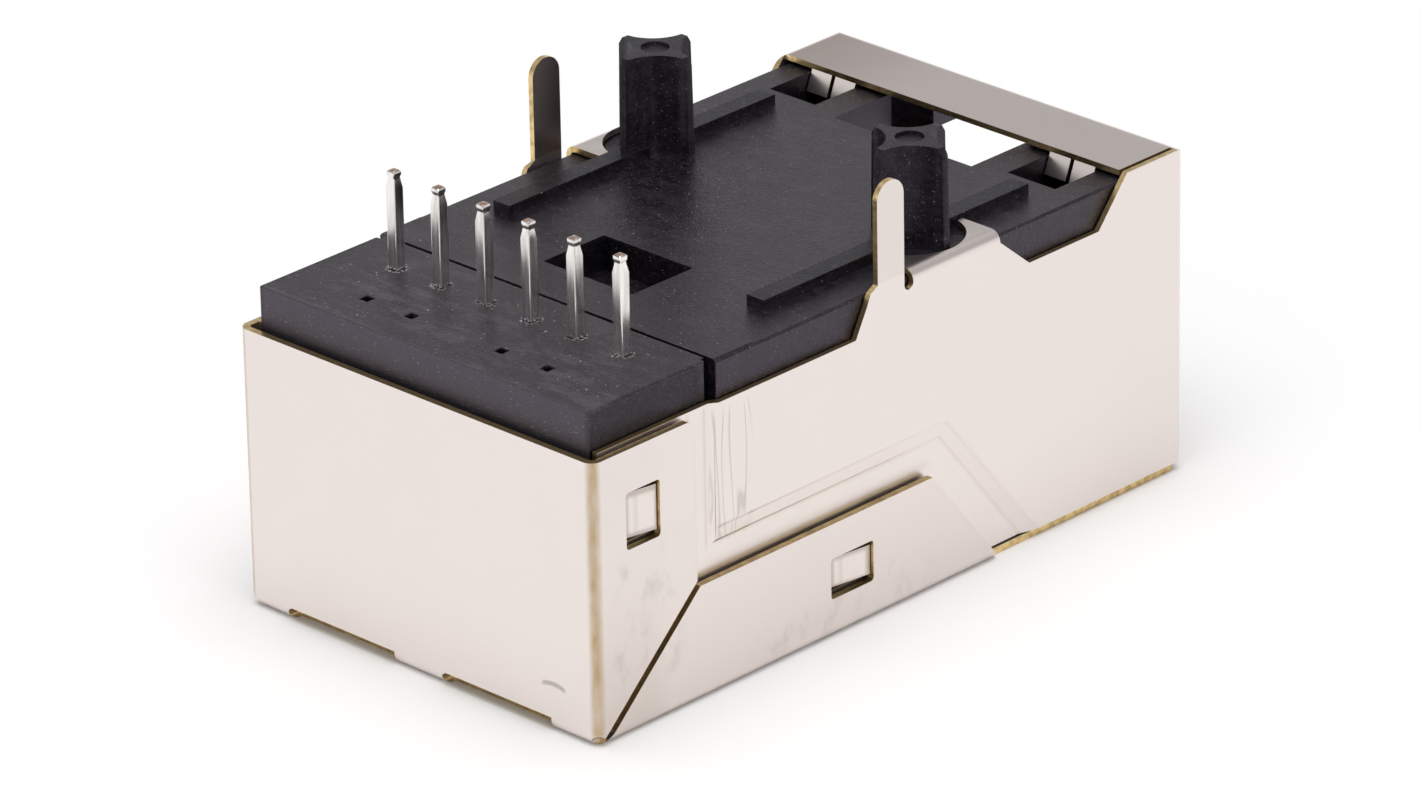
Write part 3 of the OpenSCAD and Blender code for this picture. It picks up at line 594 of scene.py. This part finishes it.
# %% Cut faces
SHEET = {"front_shield": 0.20, "rear_shield": 0.25}   # their thicknesses
SKIN, FAR = 0.002, 5                                  # where the look starts and ends
MOST_BEHIND_FLAT = 1.9                                # thicknesses of metal


def mark_cut_faces(mesh, sheet):
    """Gives material 1 to the faces of a sheet that a punch or shear has cut."""
    tree = BVHTree.FromBMesh(mesh)
    for face in mesh.faces:
        start = face.calc_center_median() - face.normal * SKIN * MM
        distance = tree.ray_cast(start, -face.normal, FAR * MM)[3]
        metal = FAR * MM if distance is None else distance
        face.material_index = int(metal > MOST_BEHIND_FLAT * sheet * MM)


print("sheets with cut edges:", sorted(SHEET))


# %% [markdown]
# ## Formed shapes of the front shield
# Two things on the front shield sit closer or are softer than in the solid. The raised
# end of each lance is pushed towards the port, up to the edge of its window. And the step
# round each pressed-in area is drawn out, most of all at its foot, and rounded widely,
# because sheet flows over a punch and can't take a crease. Both move points of the copy,
# which is simpler than to model the press, and leaves every other face alone.

# %% Lances and pressed steps
LANCE_ENDS = (REAR - 2.78, REAR - 12.55)              # where the raised ends are in y
LANCE_TRAVEL = 0.17
STEP_TURN = (30, 60)                                  # degrees at the lines of a step
STEP_LENGTH = 1.5                                     # each of its lines is longer
STEP_TOP = (5, 6)                                     # heights round the upper line
DRAWN_UP, DRAWN_BACK, DRAWN_FORWARD, DRAWN_AT_FOOT = 0.35, 0.105, 0.1225, 0.4025


def push_lances(mesh):
    """Brings the raised end of each lance up to the edge of its window."""
    moved = 0
    for vert in mesh.verts:
        x, y, _ = vert.co / MM
        if abs(x) > FLAP_X - 0.35 and min(abs(y - end) for end in LANCE_ENDS) < 0.02:
            vert.co.y -= LANCE_TRAVEL * MM
            moved += 1
    print("points of lances moved:", moved)


def step_edges(mesh):
    """The long edges of the steps round the pressed-in areas."""
    found = []
    for edge in mesh.edges:
        x = abs(edge.verts[0].co.x + edge.verts[1].co.x) / 2 / MM
        long = edge.calc_length() > STEP_LENGTH * MM
        turn = math.degrees(edge.calc_face_angle()) if edge.is_manifold else 0
        if long and STEP_TURN[0] < turn < STEP_TURN[1] and x > LANCE_X - 0.57:
            found.append(edge)
    return found


def soften_steps(mesh):
    """Draws out the outer line of each step, then rounds both of its lines widely."""
    edges = step_edges(mesh)
    outer = {vert for edge in edges for vert in edge.verts
             if abs(vert.co.x) > (LANCE_X - 0.07) * MM}
    for vert in outer:
        _, y, z = vert.co / MM
        if STEP_TOP[0] < z < STEP_TOP[1]:
            vert.co.z += DRAWN_UP * MM
        if y > 0:
            vert.co.y += DRAWN_BACK * MM
        else:
            vert.co.y -= (DRAWN_AT_FOOT if z < 1 else DRAWN_FORWARD) * MM
    bevel(mesh, edges, width=0.2, segments=4, profile=0.5)
    print("lines of the steps:", len(edges), "points drawn out:", len(outer))


# %% [markdown]
# ## Dressing a solid
# Now each copy is made, finished and put in its solid's place. Shading is smooth, with
# sharp edges only where the surface turns by more than a gentle bend does, and normals
# weighted by area keep the flat faces flat beside their soft edges.

# %% A dressed copy
SMOOTH_TURN = 21                  # degrees between faces that are shaded as one


def dressed(node, slot, width):
    """A copy of a solid with soft edges and its finish, which stands in for it."""
    mesh = welded(node)
    if node in SHEET:
        mark_cut_faces(mesh, SHEET[node])
    if node == "front_shield":
        push_lances(mesh)
    join_flats(mesh)
    if node == "front_shield":
        soften_steps(mesh)
    soften(mesh, width)
    data = bpy.data.meshes.new(node + "_dressed")
    mesh.to_mesh(data)
    mesh.free()
    data.materials.append(FINISHES[slot])
    if node in SHEET:
        data.materials.append(FINISHES["cut_edge"])
    data.shade_smooth()
    data.set_sharp_from_angle(angle=math.radians(SMOOTH_TURN))
    piece = bpy.data.objects.new(node + "_dressed", data)
    bpy.context.scene.collection.objects.link(piece)
    weighted = piece.modifiers.new("flat faces stay flat", "WEIGHTED_NORMAL")
    weighted.keep_sharp = True
    weighted.weight = 100
    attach(piece, "root")
    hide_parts(node)
    print(piece.name, "faces:", len(data.polygons))


# %% [markdown]
# ## Shields, mouldings and pins
# Sheet has the sharpest edges, and moulded plastic is a little rounder. The pins get as
# much as the plastic, a tenth of their width, because square wire is drawn with round
# corners. What is inside keeps its CAD meshes, because it is never seen closely, and only
# takes its finish.

# %% Dress the shields and mouldings
SHEET_EDGE, MOULDED_EDGE, WIRE_EDGE = 0.03, 0.04, 0.04
for node in SHEET:
    dressed(node, "shield_nickel", SHEET_EDGE)
for node in ("housing", "rear_case"):
    dressed(node, "black_plastic", MOULDED_EDGE)

# %% Dress the pins
for node in sorted(nodes):
    if node.startswith("board_pin_"):
        dressed(node, "tinned_wire", WIRE_EDGE)

# %% Finish the rest
slot_of = {row["node"]: row["material_slot"] for row in frame["record"]["subparts"]}
for name, solid in nodes.items():
    solid.data.materials.clear()
    solid.data.materials.append(FINISHES[slot_of[name]])
print("solids with a finish:", len(nodes), "finishes in use:", len(set(slot_of.values())))

# %% [markdown]
# ## Floor
# The jack lies on a plain pale floor. Polished sheet shows what stands round it, and seen
# from above its walls mirror the floor, so the floor is made very wide. It has no shine
# of its own. It lies a hundredth of a millimetre low, so that no two surfaces coincide.

# %% Floor
FLOOR_HALF = 0.6                  # half its width, in metres
floor_mesh = bpy.data.meshes.new("floor")
corners = [(side_x * FLOOR_HALF, side_y * FLOOR_HALF, 0)
           for side_x, side_y in ((-1, -1), (1, -1), (1, 1), (-1, 1))]
floor_mesh.from_pydata(corners, [], [(0, 1, 2, 3)])
floor = bpy.data.objects.new("floor", floor_mesh)
floor.location.z = -0.01 * MM
bpy.context.scene.collection.objects.link(floor)
paint = Graph("pale_floor")
floor_mesh.materials.append(paint.surface(Base_Color=rgb(0.92, 0.92, 0.92), Roughness=0.9,
                                          Specular_IOR_Level=0.0))
print("floor:", 2 * FLOOR_HALF, "m wide")

# %% [markdown]
# ## Sky and lamp
# The sky is nearly white near the horizon and grey higher up. The white part lights the
# scene evenly from all sides, and the grey part is what the folded strip on top mirrors.
# One big square lamp overhead adds a soft shadow round the jack's foot.

# %% Sky and lamp
LOW_SKY, HIGH_SKY = 0.16, 0.36    # heights of a unit direction where the grey starts and ends
world = bpy.data.worlds.new("studio")
sky = Graph("sky", world)
way = sky.node("ShaderNodeTexCoord", output="Generated")
greyer = sky.ramp(sky.split(way)[2], LOW_SKY, HIGH_SKY)
light = sky.blend(greyer, rgb(1.0, 0.99, 0.985), rgb(0.46, 0.45, 0.45))
glow = sky.node("ShaderNodeBackground", sockets={"Color": light})
sky.node("ShaderNodeOutputWorld", sockets={"Surface": glow})
bpy.context.scene.world = world


def soft_light(name, place, target, size, power):
    """A square area light at a place in metres, facing target."""
    lamp = bpy.data.lights.new(name, "AREA")
    lamp.size = size
    lamp.energy = power
    holder = bpy.data.objects.new(name, lamp)
    bpy.context.scene.collection.objects.link(holder)
    holder.location = place
    aim = Vector(target) - Vector(place)
    holder.rotation_euler = aim.to_track_quat("-Z", "Y").to_euler()
    print(name, "lamp:", size, "m wide,", power, "W")


soft_light("overhead", (-0.05, 0.05, 0.5), (0, 0, 0), size=0.5, power=2.1)

# %% [markdown]
# ## Camera
# A long lens far away keeps the edges nearly parallel. The camera stands behind the
# jack, to the side of its marked flank, and looks down on it by about 25 degrees. Aimed
# at a point it would stand upright, and this view leans a little, so the camera is turned
# by the two directions that are right and up in it.

# %% Camera
EYE = Vector((-191.66, 197.08, 130.66))
RIGHT = Vector((-0.72130, -0.69241, -0.01741))
UP = Vector((0.27663, -0.31104, 0.90925))
lens = bpy.data.cameras.new("camera")
lens.lens = 233.2
lens.sensor_width = 36
lens.clip_start = 0.01
camera = bpy.data.objects.new("camera", lens)
bpy.context.scene.collection.objects.link(camera)
turn = Matrix((RIGHT, UP, RIGHT.cross(UP))).transposed().to_4x4()
camera.matrix_world = Matrix.Translation(EYE * MM) @ turn
bpy.context.scene.camera = camera
bpy.context.scene.view_settings.view_transform = "Standard"
down = math.degrees(math.asin(RIGHT.cross(UP).z))
print("camera:", round(EYE.length), "mm away, looking down by", round(down, 1), "degrees")

# %% [markdown]
# ## The end
